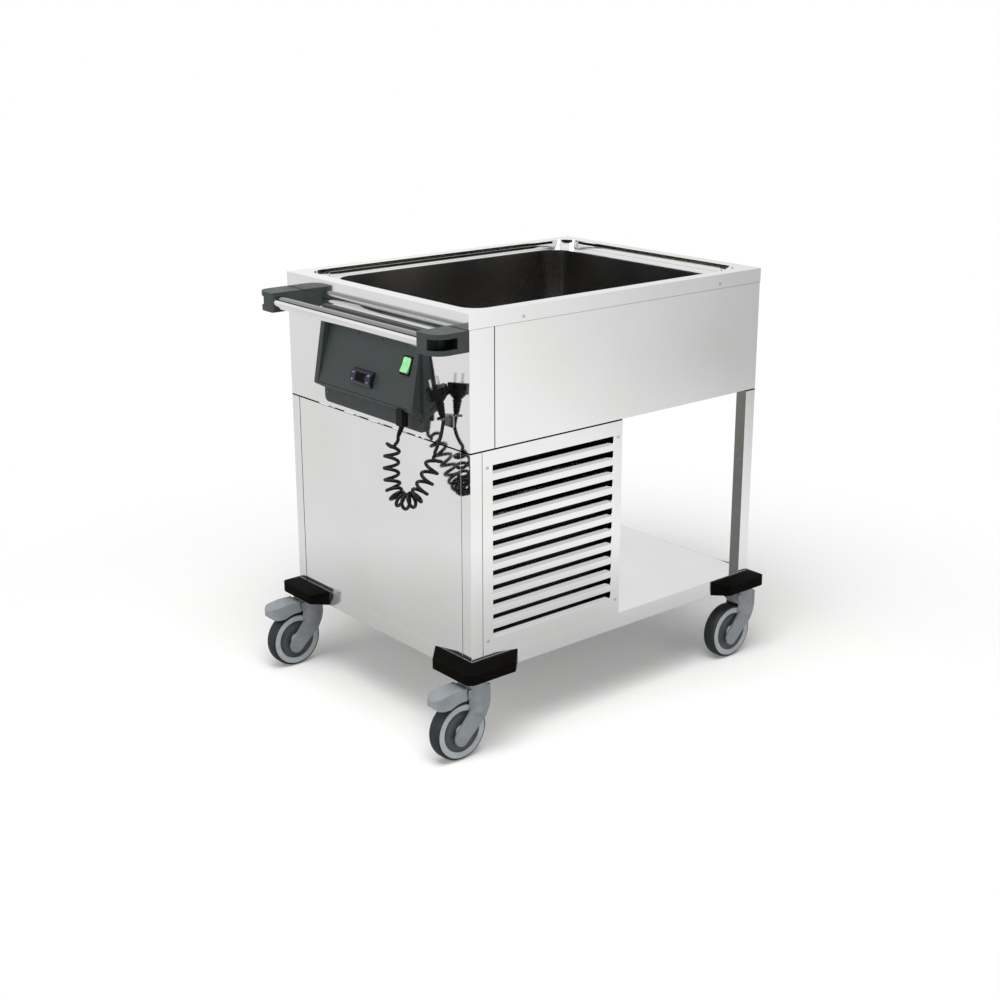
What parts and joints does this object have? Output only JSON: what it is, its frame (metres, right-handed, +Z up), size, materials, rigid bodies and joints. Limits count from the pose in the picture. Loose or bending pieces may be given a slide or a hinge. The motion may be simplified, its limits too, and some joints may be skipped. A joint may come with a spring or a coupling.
{
  "type": "mobile salad bar",
  "caption": "Stainless serving cart with a deep cooled well, louvred machine bay, open shelf, push handle, curly mains lead and swivel casters with brakes",
  "frame": {"origin": "on the floor below the middle of the cart's overall box, brake pedals and bumpers included, casters trailing towards -X", "axes": "+X along the length, from the push handle at -X to the far end; +Y across, with the louvred panel seen in the picture on the -Y side; +Z up"},
  "size_m": [0.941, 0.689, 0.9],
  "materials": {
    "steel": "bright brushed stainless sheet",
    "steel_dark": "deep drawn stainless sheet",
    "polished": "polished tube",
    "slate": "slate grey moulding",
    "black": "black moulding",
    "screen": "glossy dark moulding",
    "keys": "pale keys",
    "green": "translucent green rocker",
    "cord": "black rubber lead",
    "bumper": "near black rubber",
    "caster": "light grey moulding",
    "tread": "dark grey rubber tread",
    "pin": "plain steel",
    "copper": "copper pipe",
    "foam": "rigid foam",
    "machine": "black painted steel",
    "fins": "finned core in a painted frame",
    "pipe": "pale plastic pipe",
    "red": "red lever"
  },
  "bodies": {
    "cart": {"top_rim": "steel", "well_tub": "steel_dark", "air_strips": "steel", "insulation": "foam", "refrigerant_tubing": "copper", "front_fascia": "steel", "rear_fascia": "steel", "handle_end_fascia": "steel", "far_end_fascia": "steel", "upper_floor": "steel", "corner_posts": "steel", "base_tray": "steel", "lower_end_panel": "steel", "front_grille": "steel", "rear_grille": "steel", "bay_partition": "steel", "panel_screws": "pin", "control_housing": "slate", "control_face": "slate", "thermostat_case": "screen", "rocker_frame": "black", "cable_gland": "black", "handle_brackets": "slate", "handle_tube": "polished", "plug_holder": "pin", "cord_lead": "cord", "cord_curls": "cord", "cord_tail": "cord", "plug_body": "black", "plug_pins": "pin", "corner_bumpers": "bumper", "caster_discs": "caster", "compressor": "machine", "condenser": "fins", "drain_pipe": "pipe"},
    "caster_1": {"caster_fork_1": "caster", "wheel_axle_1": "pin"},
    "wheel_1": {"wheel_tread_1": "tread", "wheel_rim_1": "caster"},
    "brake_1": {"brake_pedal_1": "caster"},
    "caster_2": {"caster_fork_2": "caster", "wheel_axle_2": "pin"},
    "wheel_2": {"wheel_tread_2": "tread", "wheel_rim_2": "caster"},
    "brake_2": {"brake_pedal_2": "caster"},
    "caster_3": {"caster_fork_3": "caster", "wheel_axle_3": "pin"},
    "wheel_3": {"wheel_tread_3": "tread", "wheel_rim_3": "caster"},
    "caster_4": {"caster_fork_4": "caster", "wheel_axle_4": "pin"},
    "wheel_4": {"wheel_tread_4": "tread", "wheel_rim_4": "caster"},
    "key_1": {"thermostat_key_1": "keys"},
    "key_2": {"thermostat_key_2": "keys"},
    "key_3": {"thermostat_key_3": "keys"},
    "key_4": {"thermostat_key_4": "keys"},
    "rocker": {"rocker_button": "green"},
    "fan": {"condenser_fan": "black"},
    "drain_valve": {"drain_lever": "red"}
  },
  "joints": [
    {"name": "swivel_1", "type": "hinge", "parent": "cart", "child": "caster_1", "pos_m": [-0.3625, -0.303, 0.14], "axis": [0, 0, 1], "continuous": true},
    {"name": "wheel_1_spin", "type": "hinge", "parent": "caster_1", "child": "wheel_1", "pos_m": [-0.4025, -0.303, 0.0625], "axis": [0, 1, 0], "continuous": true},
    {"name": "brake_1", "type": "hinge", "parent": "caster_1", "child": "brake_1", "pos_m": [-0.3835, -0.303, 0.143], "axis": [0, -1, 0], "range_deg": [0, 7]},
    {"name": "swivel_2", "type": "hinge", "parent": "cart", "child": "caster_2", "pos_m": [-0.3625, 0.303, 0.14], "axis": [0, 0, 1], "continuous": true},
    {"name": "wheel_2_spin", "type": "hinge", "parent": "caster_2", "child": "wheel_2", "pos_m": [-0.4025, 0.303, 0.0625], "axis": [0, 1, 0], "continuous": true},
    {"name": "brake_2", "type": "hinge", "parent": "caster_2", "child": "brake_2", "pos_m": [-0.3835, 0.303, 0.143], "axis": [0, -1, 0], "range_deg": [0, 7]},
    {"name": "swivel_3", "type": "hinge", "parent": "cart", "child": "caster_3", "pos_m": [0.4295, -0.303, 0.14], "axis": [0, 0, 1], "continuous": true},
    {"name": "wheel_3_spin", "type": "hinge", "parent": "caster_3", "child": "wheel_3", "pos_m": [0.3895, -0.303, 0.0625], "axis": [0, 1, 0], "continuous": true},
    {"name": "swivel_4", "type": "hinge", "parent": "cart", "child": "caster_4", "pos_m": [0.4295, 0.303, 0.14], "axis": [0, 0, 1], "continuous": true},
    {"name": "wheel_4_spin", "type": "hinge", "parent": "caster_4", "child": "wheel_4", "pos_m": [0.3895, 0.303, 0.0625], "axis": [0, 1, 0], "continuous": true},
    {"name": "key_1_press", "type": "slide", "parent": "cart", "child": "key_1", "axis": [0.9537, 0, -0.3008], "range_m": [0, 0.0008], "stiffness_N_per_m": 400},
    {"name": "key_2_press", "type": "slide", "parent": "cart", "child": "key_2", "axis": [0.9537, 0, -0.3008], "range_m": [0, 0.0008], "stiffness_N_per_m": 400},
    {"name": "key_3_press", "type": "slide", "parent": "cart", "child": "key_3", "axis": [0.9537, 0, -0.3008], "range_m": [0, 0.0008], "stiffness_N_per_m": 400},
    {"name": "key_4_press", "type": "slide", "parent": "cart", "child": "key_4", "axis": [0.9537, 0, -0.3008], "range_m": [0, 0.0008], "stiffness_N_per_m": 400},
    {"name": "rocker_tip", "type": "hinge", "parent": "cart", "child": "rocker", "pos_m": [-0.37817, -0.1275, 0.77025], "axis": [0, -1, 0], "range_deg": [0, 14]},
    {"name": "fan_spin", "type": "hinge", "parent": "cart", "child": "fan", "pos_m": [-0.1565, -0.2355, 0.341], "axis": [0, 1, 0], "continuous": true},
    {"name": "drain_turn", "type": "hinge", "parent": "cart", "child": "drain_valve", "pos_m": [0.1035, -0.026, 0.585], "axis": [0, 1, 0], "range_deg": [0, 90]}
  ]
}
